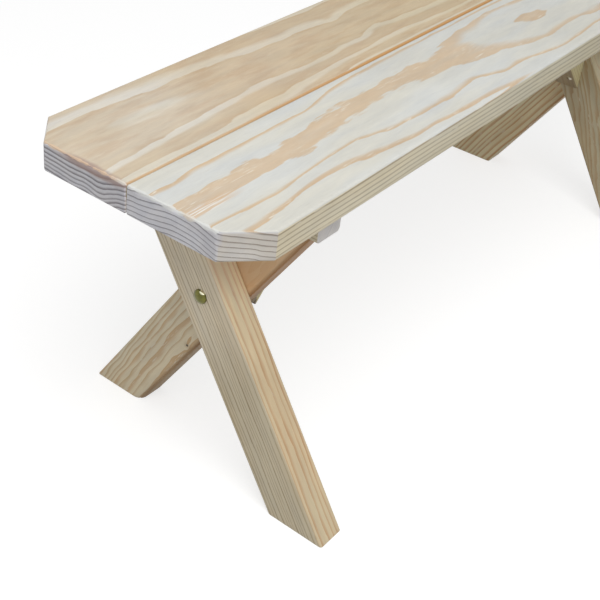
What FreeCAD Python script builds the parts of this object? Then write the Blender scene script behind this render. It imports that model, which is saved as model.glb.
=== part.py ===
import FreeCAD, Part
import math
import os
from FreeCAD import Vector

# A small pine bench: two seat boards on two pairs of crossed legs.
# Millimetres. X runs along the bench, the front is -Y, Z is up, and the floor is at zero.
# The bench looks the same when it is turned half round about Z, so each end is built once,
# as the left end (-X), and turned round for the right end.

# Seat
seat_length = 1194.0
seat_height = 432.0
board_width = 146.0
board_thickness = 32.0
board_edge_radius = 3.0
seam_gap = 0.5
corner_cut_length = 39.0
corner_cut_width = 36.0

# Crossed legs
leg_width = 64.0
leg_thickness = 38.0
leg_edge_radius = 3.0
leg_angle = 32.5
crossing_height = 245.0
end_overhang = 117.0

# Cleat across the underside of both boards, housed in the tops of the legs
cleat_length = 250.0
cleat_width = 38.0
cleat_depth = 38.0
cleat_edge_radius = 2.5
housing_clearance = 0.2

# Brace from the crossing of the legs up to the seat
brace_width = 38.0
brace_depth = 64.0
brace_edge_radius = 3.0
brace_angle = 45.0
brace_drop = 42.0

# Carriage bolt through the crossing, with its washer and nut sunk in the inner leg
bolt_diameter = 7.9
bolt_head_diameter = 17.5
bolt_head_height = 4.4
bolt_neck_width = 8.0
bolt_neck_depth = 4.6
bolt_projection = 1.4
bolt_end_cover = 6.0
bolt_clearance = 0.2
washer_diameter = 22.0
washer_thickness = 1.6
nut_width = 12.7
nut_height = 6.8
recess_clearance = 1.6

# Countersunk wood screws, drawn with flat sides
screw_sides = 10
screw_diameter = 4.2
screw_head_diameter = 8.2
screw_head_depth = 2.6
screw_point_length = 6.0
screw_tip_diameter = 0.8
screw_clearance = 0.12
screw_end_cover = 6.0
leg_screw_spacing = 30.0
brace_screw_spacing = 21.0
brace_screw_setback = 23.0

# How far a cutting tool runs past the wood
overrun = 5.0

# Worked out from the sizes above
underside_height = seat_height - board_thickness
housing_floor_height = underside_height - cleat_depth
leg_tangent = math.tan(math.radians(leg_angle))
brace_tangent = math.tan(math.radians(brace_angle))
outer_face = -seat_length / 2 + end_overhang
leg_joint = outer_face + leg_thickness
inner_face = leg_joint + leg_thickness
cheek_thickness = leg_thickness - cleat_width / 2
cleat_middle_height = underside_height - cleat_depth / 2
leg_top_offset = (cleat_middle_height - crossing_height) * leg_tangent
brace_tip_height = crossing_height - brace_drop
bolt_length = 2 * leg_thickness - bolt_end_cover
recess_depth = bolt_end_cover + bolt_projection + nut_height + washer_thickness
recess_radius = washer_diameter / 2 + recess_clearance
origin = Vector(0, 0, 0)
along = Vector(1, 0, 0)
across = Vector(0, 1, 0)
upward = Vector(0, 0, 1)


def eased_bar(start, run, side, rise, width, depth, radius):
    """A sawn bar with eased long edges: a rounded rectangle, width along side and depth
    along rise, centred on start and carried along run."""
    def place(a, b):
        return start + side * a + rise * b

    easing = min(radius, width / 2, depth / 2)
    half_width = width / 2
    half_depth = depth / 2
    flat_width = half_width - easing
    flat_depth = half_depth - easing
    bulge_width = flat_width + easing * math.cos(math.pi / 4)
    bulge_depth = flat_depth + easing * math.sin(math.pi / 4)
    edges = []
    for sign_a, sign_b in ((1, 1), (-1, 1), (-1, -1), (1, -1)):
        upright_end = place(sign_a * half_width, sign_b * flat_depth)
        level_end = place(sign_a * flat_width, sign_b * half_depth)
        middle = place(sign_a * bulge_width, sign_b * bulge_depth)
        if sign_a == sign_b:
            corner = (upright_end, middle, level_end)
            following = place(-sign_a * flat_width, sign_b * half_depth)
        else:
            corner = (level_end, middle, upright_end)
            following = place(sign_a * half_width, -sign_b * flat_depth)
        edges.append(Part.Arc(*corner).toShape())
        edges.append(Part.LineSegment(corner[2], following).toShape())
    return Part.Face(Part.Wire(edges)).extrude(run)


def block(low, high):
    """A box between two opposite corners."""
    size = high - low
    return Part.makeBox(size.x, size.y, size.z, low)


def half_turn(shape):
    """The same piece at the other end of the bench."""
    turned_shape = shape.copy()
    turned_shape.rotate(origin, upward, 180)
    return turned_shape


def faceted(profile, at, direction):
    """A piece with flat sides: profile points (radius, distance) along direction from at,
    each a ring of corners, with flat faces between the rings and at both ends."""
    rings = []
    for radius, distance in profile:
        ring = []
        for step in range(screw_sides):
            angle = 2 * math.pi * step / screw_sides
            ring.append(Vector(radius * math.cos(angle), radius * math.sin(angle), distance))
        rings.append(ring)
    outlines = [rings[0], rings[-1]]
    for near, far in zip(rings, rings[1:]):
        for step in range(screw_sides):
            before = step - 1
            outlines.append([near[before], near[step], far[step], far[before]])
    faces = [Part.Face(Part.makePolygon(corners + corners[:1])) for corners in outlines]
    solid = Part.Solid(Part.Shell(faces))
    if solid.Volume < 0:
        solid.reverse()
    solid.Placement = FreeCAD.Placement(at, FreeCAD.Rotation(upward, direction))
    return solid


def screw_profile(length, margin):
    """Half outline of a countersunk screw, from its head face to its tip."""
    shank = screw_diameter / 2 + margin
    return [
        (screw_head_diameter / 2 + margin, 0),
        (shank, screw_head_depth + margin),
        (shank, length - screw_point_length),
        (screw_tip_diameter / 2 + margin, length + margin),
    ]


def screw_and_bore(at, direction, length):
    """A wood screw, and the hole that it runs in, open behind its head."""
    screw = faceted(screw_profile(length, 0), at, direction)
    bore_profile = screw_profile(length, screw_clearance)
    mouth = (bore_profile[0][0], -brace_depth)
    return screw, faceted([mouth] + bore_profile, at, direction)


def cleat_screw_places():
    """Up through the cleat into the seat boards, two screws to a board: one between the
    screws of the leg, and one halfway from those to the seam."""
    length = cleat_depth + board_thickness - screw_end_cover
    near_seam = (leg_top_offset - leg_screw_spacing / 2) / 2
    places = []
    for y in (-leg_top_offset, -near_seam, near_seam, leg_top_offset):
        places.append((Vector(leg_joint, y, housing_floor_height), upward, length))
    return places


def leg_screw_places():
    """Through the cheek at the top of each leg into the cleat, two screws to a leg."""
    length = cheek_thickness + cleat_width - screw_end_cover
    places = []
    for face, direction, middle in (
        (outer_face, along, leg_top_offset),
        (inner_face, along * -1, -leg_top_offset),
    ):
        for shift in (-leg_screw_spacing / 2, leg_screw_spacing / 2):
            head = Vector(face, middle + shift, cleat_middle_height)
            places.append((head, direction, length))
    return places


def brace_screw_places():
    """Through the mitred tips of the brace: level into the inner leg, and up into the
    boards. The heads sit at the bottom of pockets in the sloping underside."""
    pocket_radius = screw_head_diameter / 2 + screw_clearance
    foot_wood = (brace_screw_setback - pocket_radius) / brace_tangent
    head_wood = (brace_screw_setback - pocket_radius) * brace_tangent
    tip_x = inner_face + (underside_height - brace_tip_height) / brace_tangent
    places = []
    for y in (-brace_screw_spacing / 2, brace_screw_spacing / 2):
        foot = Vector(inner_face + foot_wood, y, brace_tip_height + brace_screw_setback)
        places.append((foot, along * -1, foot_wood + leg_thickness - screw_end_cover))
        top = Vector(tip_x - brace_screw_setback, y, underside_height - head_wood)
        places.append((top, upward, head_wood + board_thickness - screw_end_cover))
    return places


def make_fasteners(places):
    """The screws of one group, and their bores."""
    pairs = [screw_and_bore(*place) for place in places]
    screws = [screw for screw, bore in pairs]
    bores = [bore for screw, bore in pairs]
    return screws, bores


def seat_board(bores):
    """The front board: eased long edges, square-cut ends, two outer corners cut off."""
    middle_y = -(seam_gap + board_width) / 2
    start = Vector(-seat_length / 2, middle_y, seat_height - board_thickness / 2)
    board = eased_bar(
        start, along * seat_length, across, upward,
        board_width, board_thickness, board_edge_radius,
    )
    front = -seam_gap / 2 - board_width
    slope = corner_cut_width / corner_cut_length
    for end in (-1, 1):
        tip = end * seat_length / 2
        outline = [
            (tip - end * corner_cut_length - end * overrun, front - overrun * slope),
            (tip + end * overrun, front + corner_cut_width + overrun * slope),
            (tip + end * overrun, front - overrun * slope),
        ]
        corners = [Vector(x, y, underside_height - overrun) for x, y in outline]
        wedge = Part.Face(Part.makePolygon(corners + corners[:1]))
        board = board.cut(wedge.extrude(upward * (board_thickness + 2 * overrun)))
    return board.cut(bores + [half_turn(bore) for bore in bores])


def crossed_leg(lean, face_x, cheek_side, bores):
    """One leg, cut level at the floor and under the seat. lean is 1 where the leg rises
    to the back and -1 where it rises to the front. The half of its top away from
    cheek_side is housed out round the cleat."""
    angle = math.radians(leg_angle)
    direction = Vector(0, lean * math.sin(angle), math.cos(angle))
    side = Vector(0, math.cos(angle), -lean * math.sin(angle))
    reach = seat_height / math.cos(angle)
    start = Vector(face_x + leg_thickness / 2, 0, crossing_height) - direction * reach
    leg = eased_bar(
        start, direction * (2 * reach), side, along,
        leg_width, leg_thickness, leg_edge_radius,
    )
    span = seat_height
    leg = leg.common(block(
        Vector(face_x - overrun, -span, 0),
        Vector(face_x + leg_thickness + overrun, span, underside_height),
    ))
    housing_face = leg_joint + cheek_side * (cleat_width / 2 + housing_clearance)
    far_face = leg_joint - cheek_side * (leg_thickness + overrun)
    low_x = min(housing_face, far_face)
    high_x = max(housing_face, far_face)
    leg = leg.cut(block(
        Vector(low_x, -span, housing_floor_height),
        Vector(high_x, span, underside_height + overrun),
    ))
    return leg.cut(bores)


def bolt_hole():
    """The hole of the bolt, with the square socket of its neck at the outer face."""
    radius = bolt_diameter / 2 + bolt_clearance
    start = Vector(outer_face - overrun, 0, crossing_height)
    hole = Part.makeCylinder(radius, 2 * leg_thickness + 2 * overrun, start, along)
    half = bolt_neck_width / 2 + bolt_clearance
    socket = block(
        Vector(outer_face - overrun, -half, crossing_height - half),
        Vector(outer_face + bolt_neck_depth + bolt_clearance, half, crossing_height + half),
    )
    return hole.fuse(socket)


def nut_recess():
    """The flat-bottomed recess of the washer and nut in the inner leg."""
    start = Vector(inner_face - recess_depth, 0, crossing_height)
    return Part.makeCylinder(recess_radius, recess_depth + overrun, start, along)


def carriage_bolt():
    """Domed head, square neck and plain shank."""
    head_radius = bolt_head_diameter / 2
    centre = Vector(outer_face, 0, crossing_height)
    dome_radius = (head_radius ** 2 + bolt_head_height ** 2) / (2 * bolt_head_height)
    half_angle = math.asin(min(1.0, head_radius / dome_radius)) / 2
    crown = Vector(0, 0, -bolt_head_height)
    rim = Vector(head_radius, 0, 0)
    shoulder = Vector(
        dome_radius * math.sin(half_angle),
        0,
        -bolt_head_height + dome_radius * (1 - math.cos(half_angle)),
    )
    edges = [
        Part.Arc(crown, shoulder, rim).toShape(),
        Part.LineSegment(rim, origin).toShape(),
        Part.LineSegment(origin, crown).toShape(),
    ]
    dome = Part.Face(Part.Wire(edges)).revolve(origin, upward, 360)
    dome.Placement = FreeCAD.Placement(centre, FreeCAD.Rotation(upward, along))
    half = bolt_neck_width / 2
    neck = block(
        centre + Vector(0, -half, -half),
        centre + Vector(bolt_neck_depth, half, half),
    )
    shank = Part.makeCylinder(bolt_diameter / 2, bolt_length, centre, along)
    return dome.fuse([neck, shank]).removeSplitter()


def flat_washer():
    """Flat ring on the floor of the recess."""
    start = Vector(inner_face - recess_depth, 0, crossing_height)
    ring = Part.makeCylinder(washer_diameter / 2, washer_thickness, start, along)
    radius = bolt_diameter / 2 + bolt_clearance
    return ring.cut(Part.makeCylinder(radius, washer_thickness, start, along))


def hex_nut():
    """Six-sided nut on the washer."""
    start = Vector(inner_face - recess_depth + washer_thickness, 0, crossing_height)
    corner_radius = nut_width / 2 / math.cos(math.pi / 6)
    corners = []
    for step in range(6):
        angle = step * math.pi / 3
        y = corner_radius * math.cos(angle)
        z = corner_radius * math.sin(angle)
        corners.append(start + Vector(0, y, z))
    prism = Part.Face(Part.makePolygon(corners + corners[:1])).extrude(along * nut_height)
    radius = bolt_diameter / 2 + bolt_clearance
    return prism.cut(Part.makeCylinder(radius, nut_height, start, along))


def seat_cleat(bores):
    """Square bar across both boards, over the joint between the two legs."""
    start = Vector(leg_joint, -cleat_length / 2, cleat_middle_height)
    cleat = eased_bar(
        start, across * cleat_length, along, upward,
        cleat_width, cleat_depth, cleat_edge_radius,
    )
    return cleat.cut(bores)


def seat_brace(bores):
    """Sloping bar, cut upright against the inner leg and level under the seat."""
    angle = math.radians(brace_angle)
    direction = Vector(math.cos(angle), 0, math.sin(angle))
    rise = Vector(-math.sin(angle), 0, math.cos(angle))
    reach = seat_height / math.sin(angle) + brace_depth
    tip = Vector(inner_face, 0, brace_tip_height)
    start = tip + rise * (brace_depth / 2) - direction * reach
    brace = eased_bar(
        start, direction * (2 * reach), rise, across,
        brace_depth, brace_width, brace_edge_radius,
    )
    brace = brace.common(block(
        Vector(inner_face, -brace_width, 0),
        Vector(inner_face + 2 * reach, brace_width, underside_height),
    ))
    return brace.cut(bores)


def left_end_and_boards():
    """All pieces: the boards, and the left end under names that lack the side."""
    cleat_screws, cleat_bores = make_fasteners(cleat_screw_places())
    leg_screws, leg_bores = make_fasteners(leg_screw_places())
    brace_screws, brace_bores = make_fasteners(brace_screw_places())
    hole = bolt_hole()
    outer_leg = crossed_leg(1, outer_face, -1, leg_bores[:2] + [hole])
    inner_bores = leg_bores[2:] + brace_bores[0::2] + [hole, nut_recess()]
    inner_leg = crossed_leg(-1, leg_joint, 1, inner_bores)
    end_pieces = {
        "leg_outer": outer_leg,
        "leg_inner": inner_leg,
        "cleat": seat_cleat(cleat_bores + leg_bores),
        "brace": seat_brace(brace_bores),
        "carriage_bolt": carriage_bolt(),
        "washer": flat_washer(),
        "nut": hex_nut(),
        "cleat_screws": Part.makeCompound(cleat_screws),
        "leg_screws": Part.makeCompound(leg_screws),
        "brace_screws": Part.makeCompound(brace_screws),
    }
    front = seat_board(cleat_bores + brace_bores[1::2])
    boards = {"seat_board_front": front, "seat_board_back": half_turn(front)}
    return end_pieces, boards


def main():
    os.makedirs("parts", exist_ok=True)
    end_pieces, nodes = left_end_and_boards()
    for name, shape in end_pieces.items():
        nodes[name + "_left"] = shape
        nodes[name + "_right"] = half_turn(shape)
    for name, shape in nodes.items():
        shape.exportStep("parts/" + name + ".step")
        print(name, len(shape.Solids), "solids", shape.isValid(), round(shape.Volume))


main()
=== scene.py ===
import math
import bpy
import numpy as np
from mathutils import Euler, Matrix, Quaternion


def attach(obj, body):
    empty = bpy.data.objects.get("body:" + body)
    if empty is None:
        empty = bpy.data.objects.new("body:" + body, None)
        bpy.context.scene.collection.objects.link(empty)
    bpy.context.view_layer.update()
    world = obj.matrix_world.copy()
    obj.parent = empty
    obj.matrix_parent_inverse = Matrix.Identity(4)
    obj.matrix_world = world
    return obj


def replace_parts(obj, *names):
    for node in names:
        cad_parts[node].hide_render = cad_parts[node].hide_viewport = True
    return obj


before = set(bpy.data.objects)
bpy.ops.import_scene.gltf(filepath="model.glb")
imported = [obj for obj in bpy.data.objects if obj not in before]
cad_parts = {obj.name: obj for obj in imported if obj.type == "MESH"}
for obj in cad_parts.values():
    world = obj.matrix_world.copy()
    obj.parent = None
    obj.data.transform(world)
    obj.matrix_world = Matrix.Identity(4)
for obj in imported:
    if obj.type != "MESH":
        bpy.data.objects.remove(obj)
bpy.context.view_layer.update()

# A pine bench with crossed legs. Places are worked out in millimetres and written in metres.
# X runs along the bench, the front is -Y. The right end is the left end turned half round.
mm = 0.001
bpy.context.scene.view_settings.view_transform = "Standard"


# Numbers that drift smoothly: a sum of four sine waves, each shorter and lower than the one
# before. The seed and the three numbers of "scatter" set where each wave starts.
scatter = (12.9898, 78.233, 43758.5453)
waveStep = 0.83


def drift(along, seed, length, size):
    total = np.zeros_like(along, dtype=float)
    for wave in range(4):
        turn = math.sin(seed * scatter[0] + wave * scatter[1]) * scatter[2]
        start = turn - math.floor(turn)
        total += np.sin(2 * math.pi * (along / length * (1 + waveStep * wave) + start)) / (1 + wave)
    return total * size / 2


# The six sides of a block of cells, each a grid of two parameters, welded along their borders.
# Gives whole-number places (n, 3) and outward quads.
def blockGrid(counts):
    corners, quads, start = [], [], 0
    for axis in range(3):
        first, second = (axis + 1) % 3, (axis + 2) % 3
        rows, columns = counts[first] + 1, counts[second] + 1
        u, v = np.meshgrid(np.arange(rows), np.arange(columns), indexing="ij")
        number = np.arange(rows * columns).reshape(rows, columns)
        ring = np.stack([number[:-1, :-1], number[1:, :-1], number[1:, 1:], number[:-1, 1:]], -1)
        for level in (0, counts[axis]):
            place = np.zeros((rows * columns, 3), int)
            place[:, axis] = level
            place[:, first] = u.ravel()
            place[:, second] = v.ravel()
            corners.append(place)
            outward = ring if level else ring[..., ::-1]
            quads.append(outward.reshape(-1, 4) + start)
            start += rows * columns
    places, number = np.unique(np.concatenate(corners), axis=0, return_inverse=True)
    return places, number.ravel()[np.concatenate(quads)]


# Stations from 0 to a length: close together inside both edges, even between them
def stations(length, edge, step, edgeCells):
    near = edge * np.linspace(0, 1, edgeCells + 1)
    middle = np.linspace(edge, length - edge, max(2, round((length - 2 * edge) / step)) + 1)
    return np.concatenate([near[:-1], middle, (length - near)[::-1][1:]])


# Turns the square in a corner into a quarter circle: a place moves along the line to the
# circle's middle, by its greater offset over its distance
def cornerShare(offAcross, offDeep):
    length = np.hypot(offAcross, offDeep)
    reach = np.maximum(np.abs(offAcross), np.abs(offDeep))
    return np.where(length > 0, reach / np.maximum(length, 1e-9), 1)


# A section with rounded corners: the square of side radius in each corner is drawn in, and
# everything else stays
def roundSection(across, deep, halfAcross, halfDeep, radius):
    coreAcross = np.clip(across, radius - halfAcross, halfAcross - radius)
    coreDeep = np.clip(deep, radius - halfDeep, halfDeep - radius)
    offAcross, offDeep = across - coreAcross, deep - coreDeep
    share = cornerShare(offAcross, offDeep)
    return coreAcross + offAcross * share, coreDeep + offDeep * share


# A wane: the corner that is low both ways is drawn in again, to its own radius
def waneCorner(across, deep, halfAcross, halfDeep, radius):
    offAcross = np.minimum(across + halfAcross - radius, 0)
    offDeep = np.minimum(deep + halfDeep - radius, 0)
    share = cornerShare(offAcross, offDeep) - 1
    return across + offAcross * share, deep + offDeep * share


# How far a section is drawn in near its end: a quarter circle as wide as the easing
def endInset(fromEnd, ease):
    inside = np.clip(fromEnd / ease, 0, 1)
    return ease * (1 - np.sqrt(1 - (1 - inside) ** 2))


def meshFrom(name, places, faces):
    mesh = bpy.data.meshes.new(name)
    mesh.from_pydata((places * mm).tolist(), [], [list(map(int, face)) for face in faces])
    mesh.validate()
    piece = bpy.data.objects.new(name, mesh)
    bpy.context.scene.collection.objects.link(piece)
    return piece


# Degrees between two faces, past which their edge is drawn sharp
woodSharp, metalSharp = 28, 35


def smoothBut(piece, degrees):
    piece.data.shade_smooth()
    piece.data.set_sharp_from_angle(angle=math.radians(degrees))


def meshPlaces(mesh):
    places = np.zeros(len(mesh.vertices) * 3)
    mesh.vertices.foreach_get("co", places)
    return places.reshape(-1, 3) / mm


def faceNormals(mesh):
    normals = np.zeros(len(mesh.polygons) * 3)
    mesh.polygons.foreach_get("normal", normals)
    return normals.reshape(-1, 3)


# What the wood materials read: the count of rings outwards from the pith, the place in the
# board's own directions (metres), and how far a face cuts across the grain or looks up
def nameGrain(piece, grain, place, count):
    normals = faceNormals(piece.data)
    for name, kind, domain, values in (
        ("rings", "FLOAT", "POINT", count),
        ("grainPlace", "FLOAT_VECTOR", "POINT", place * mm),
        ("endGrain", "FLOAT", "FACE", np.abs(normals @ grain)),
        ("skyward", "FLOAT", "FACE", np.clip(normals[:, 2], 0, 1)),
    ):
        attribute = piece.data.attributes.new(name, kind, domain)
        field = "vector" if kind == "FLOAT_VECTOR" else "value"
        attribute.data.foreach_set(field, values.astype(np.float32).ravel())


# Takes cutting shapes out of a piece and leaves a plain mesh
def cutAway(piece, cutters):
    for cutter in cutters:
        change = piece.modifiers.new("cut", "BOOLEAN")
        change.operation = "DIFFERENCE"
        change.solver = "EXACT"
        change.object = cutter
    graph = bpy.context.evaluated_depsgraph_get()
    made = bpy.data.meshes.new_from_object(piece.evaluated_get(graph))
    piece.modifiers.clear()
    piece.data = made
    for cutter in cutters:
        bpy.data.objects.remove(cutter)


# Shader helpers
def addNode(tree, kind, **settings):
    node = tree.nodes.new(kind)
    for key, value in settings.items():
        setattr(node, key, value)
    return node


def wire(tree, source, target):
    if isinstance(source, (int, float, tuple)):
        target.default_value = source
    else:
        tree.links.new(source, target)


def calc(tree, operation, first, second=0.0, third=0.0):
    node = addNode(tree, "ShaderNodeMath", operation=operation)
    for value, socket in zip((first, second, third), node.inputs):
        wire(tree, value, socket)
    return node.outputs[0]


def times(tree, first, second):
    return calc(tree, "MULTIPLY", first, second)


def vectorCalc(tree, operation, first, second=(0.0, 0.0, 0.0), output=0):
    node = addNode(tree, "ShaderNodeVectorMath", operation=operation)
    wire(tree, first, node.inputs[0])
    wire(tree, second, node.inputs[1])
    return node.outputs[output]


# Distance to a centre given in millimetres
def distanceTo(tree, place, centre):
    return vectorCalc(tree, "DISTANCE", place, tuple(value * mm for value in centre), "Value")


# What a noise mostly runs between
middleNoise, wideNoise = (0.35, 0.65), (0.3, 0.7)
# Each noise: hills to the metre along, across and through the piece, detail, roughness
noises = {
    "slowBend": ((8, 50, 50), 1, 0.5), "quickBend": ((30, 150, 150), 0, 0.5),
    "ragged": ((60, 900, 900), 3, 0.5), "broad": ((5, 22, 22), 2, 0.5),
    "patch": ((17, 90, 90), 4, 0.6), "torn": ((60, 900, 900), 1, 0.5),
    "tornArea": ((10, 60, 60), 1, 0.5), "fibre": ((60, 2600, 2600), 3, 0.6),
    "ducts": ((110, 1500, 1500), 1, 0.5), "speck": ((300, 1900, 1900), 3, 0.7),
    "cloud": ((13, 75, 75), 3, 0.6), "seam": ((12, 200, 200), 2, 0.5),
    "arrisJag": ((40, 110, 40), 3, 0.55), "arrisHue": ((60, 300, 60), 2, 0.5),
    "splinters": ((22, 620, 620), 2, 0.6), "knot": ((500, 500, 500), 2, 0.5),
    "stretch": ((6, 60, 60), 2, 0.5), "heart": ((60, 90, 400), 2, 0.5),
    "film": ((260, 260, 260), 3, 0.5), "scuff": ((900, 2400, 5200), 4, 0.7),
}


def noise(tree, place, kind):
    hills, detail, roughness = noises[kind]
    node = addNode(tree, "ShaderNodeTexNoise")
    wire(tree, vectorCalc(tree, "MULTIPLY", place, hills), node.inputs["Vector"])
    node.inputs["Scale"].default_value = 1.0
    node.inputs["Detail"].default_value = detail
    node.inputs["Roughness"].default_value = roughness
    return node.outputs["Fac"]


# A value shifted by a noise times a size
def wavering(tree, value, size, place, kind):
    return calc(tree, "MULTIPLY_ADD", noise(tree, place, kind), size, value)


# Carries a value from one range to another, with soft ends unless the kind is LINEAR
def span(tree, value, fromLow, fromHigh, toLow=0.0, toHigh=1.0, kind="SMOOTHSTEP"):
    node = addNode(tree, "ShaderNodeMapRange", interpolation_type=kind)
    wire(tree, value, node.inputs["Value"])
    wire(tree, fromLow, node.inputs["From Min"])
    wire(tree, fromHigh, node.inputs["From Max"])
    wire(tree, toLow, node.inputs["To Min"])
    wire(tree, toHigh, node.inputs["To Max"])
    return node.outputs["Result"]


# All of it between full and fading, nothing before the start or past the end
def softBand(tree, value, start, full, fading, end):
    return times(tree, span(tree, value, start, full), span(tree, value, fading, end, 1, 0))


# Sockets 0, 6 and 7 of this node are its factor and its two colours
def blendColour(tree, factor, first, second, mode="MIX"):
    node = addNode(tree, "ShaderNodeMix", data_type="RGBA", blend_type=mode)
    wire(tree, factor, node.inputs[0])
    wire(tree, first, node.inputs[6])
    wire(tree, second, node.inputs[7])
    return node.outputs[2]


# sRGB 0 to 255 to the linear colour of a socket
def paint(red, green, blue):
    share = np.array([red, green, blue]) / 255
    linear = np.where(share <= 0.04045, share / 12.92, ((share + 0.055) / 1.055) ** 2.4)
    return tuple(float(value) for value in linear) + (1.0,)


def openGroup(name, inputs, outputs):
    group = bpy.data.node_groups.new(name, "ShaderNodeTree")
    for label, kind, value in inputs:
        socket = group.interface.new_socket(label, in_out="INPUT", socket_type=kind)
        if value is not None:
            socket.default_value = value
    for label in outputs:
        group.interface.new_socket(label, in_out="OUTPUT", socket_type="NodeSocketFloat")
    return group, group.nodes.new("NodeGroupInput"), group.nodes.new("NodeGroupOutput")


def openMaterial(name):
    material = bpy.data.materials.new(name)
    material.use_nodes = True
    return material, material.node_tree, material.node_tree.nodes["Principled BSDF"]


def giveRelief(tree, shader, height, strength, depth):
    bump = addNode(tree, "ShaderNodeBump")
    bump.inputs["Strength"].default_value = strength
    bump.inputs["Distance"].default_value = depth * mm
    wire(tree, height, bump.inputs["Height"])
    wire(tree, bump.outputs["Normal"], shader.inputs["Normal"])


def readAttribute(tree, name, output):
    return addNode(tree, "ShaderNodeAttribute", attribute_name=name).outputs[output]


# Shares of a ring, from 0 at its inner side to 1 at its rim, and what its latewood's body and
# rim add. Each pair says where a noise starts to show and where it shows in full.
ringShape = {
    "quickShare": 0.6, "leastShare": 0.82, "mostShare": 1.12, "body": 0.85, "rim": 0.15,
    "rimFrom": 0.86, "rimFull": 0.97, "stop": 0.982, "faintest": 0.8,
    "patch": (0.42, 0.66), "torn": (0.62, 0.67), "tornArea": (0.50, 0.56), "ducts": (0.70, 0.78),
}


# Growth rings: each starts pale at its inner side, turns to latewood over its outer share,
# darkens towards its end and stops sharply. Every ring has its own share and depth of colour.
def pineRings():
    group, given, result = openGroup(
        "pineRings",
        [
            ("Rings", "NodeSocketFloat", 0.0), ("Place", "NodeSocketVector", None),
            ("Late Share", "NodeSocketFloat", 0.3), ("Late Rise", "NodeSocketFloat", 0.1),
            ("Waver", "NodeSocketFloat", 0.1), ("Ragged", "NodeSocketFloat", 0.06),
            ("Seed", "NodeSocketFloat", 0.0),
        ],
        ["Latewood", "Ring Tone", "Broad", "Patch", "Torn", "Fibre", "Ducts", "Height"],
    )
    shape, place = ringShape, given.outputs["Place"]
    slow, quick, ragged = [
        calc(group, "SUBTRACT", noise(group, place, kind), 0.5)
        for kind in ("slowBend", "quickBend", "ragged")
    ]
    bend = calc(group, "MULTIPLY_ADD", quick, shape["quickShare"], slow)
    count = calc(group, "MULTIPLY_ADD", bend, given.outputs["Waver"], given.outputs["Rings"])
    count = calc(group, "MULTIPLY_ADD", ragged, given.outputs["Ragged"], count)
    part = calc(group, "FRACT", count)
    number = calc(group, "ADD", calc(group, "FLOOR", count), given.outputs["Seed"])
    chance = addNode(group, "ShaderNodeTexWhiteNoise", noise_dimensions="1D")
    wire(group, number, chance.inputs["W"])
    chances = addNode(group, "ShaderNodeSeparateColor")
    wire(group, chance.outputs["Color"], chances.inputs[0])
    ownShare, ownDepth, ownTone = chances.outputs[0], chances.outputs[1], chances.outputs[2]
    spread = span(group, ownShare, 0, 1, shape["leastShare"], shape["mostShare"], "LINEAR")
    start = calc(group, "SUBTRACT", 1.0, times(group, given.outputs["Late Share"], spread))
    full = calc(group, "ADD", start, given.outputs["Late Rise"])
    body = times(group, span(group, part, start, full), shape["body"])
    rim = times(group, span(group, part, shape["rimFrom"], shape["rimFull"]), shape["rim"])
    late = times(group, calc(group, "ADD", body, rim), span(group, part, shape["stop"], 1.0, 1, 0))
    late = times(group, late, span(group, ownDepth, 0, 1, shape["faintest"], 1, "LINEAR"))
    patch, torn, tornArea, ducts = [
        span(group, noise(group, place, kind), *shape[kind])
        for kind in ("patch", "torn", "tornArea", "ducts")
    ]
    fibre = noise(group, place, "fibre")
    height = calc(group, "MULTIPLY_ADD", fibre, 0.5, times(group, late, 0.5))
    for name, socket in (
        ("Latewood", late), ("Ring Tone", ownTone), ("Broad", noise(group, place, "broad")),
        ("Patch", patch), ("Torn", times(group, torn, tornArea)), ("Fibre", fibre),
        ("Ducts", ducts), ("Height", height),
    ):
        wire(group, socket, result.inputs[name])
    return group


ringGroup = pineRings()


# Seat boards, in millimetres
seat = {
    "length": 1194.0, "width": 146.0, "thickness": 32.0, "edgeRadius": 3.0, "top": 432.0,
    "halfGap": 0.25, "cutLength": 39.0, "cutWidth": 36.0, "endEase": 1.0, "mostEase": 5.0,
    "easeLength": 120.0, "step": 4.0, "acrossStep": 2.6, "deepStep": 3.2,
    "bendLength": 110.0, "bendSlant": 0.2, "waver": 2.0, "waverLength": 420.0,
    "kinkAt": 24.0, "kinkLength": 5.0, "kink": 0.4,
    "lineStep": 2.0, "lineSmoothing": 15, "leastGap": 0.8,
}


def fromNearEnd(tree, spot):
    return calc(tree, "SUBTRACT", spot["x"], -seat["length"] / 2 * mm)


# Each touch takes the colour so far and puts one more thing on it.
# The orange line of heartwood along the seam, which widens and deepens along the board
def seamLine(tree, spot, up, colour, line):
    y = wavering(tree, spot["y"], line["waver"] * mm, spot["place"], "seam")
    start, full = line["paleUntil"] * mm, line["deepFrom"] * mm
    reach = span(tree, spot["x"], start, full, line["narrow"] * mm, line["wide"] * mm)
    near = span(tree, calc(tree, "DIVIDE", y, reach), *line["fade"], 1, 0)
    strength = span(tree, spot["x"], start, full, line["faintest"], 1)
    shown = times(tree, times(tree, near, strength), up)
    return blendColour(tree, shown, colour, paint(*line["colour"]))


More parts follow.
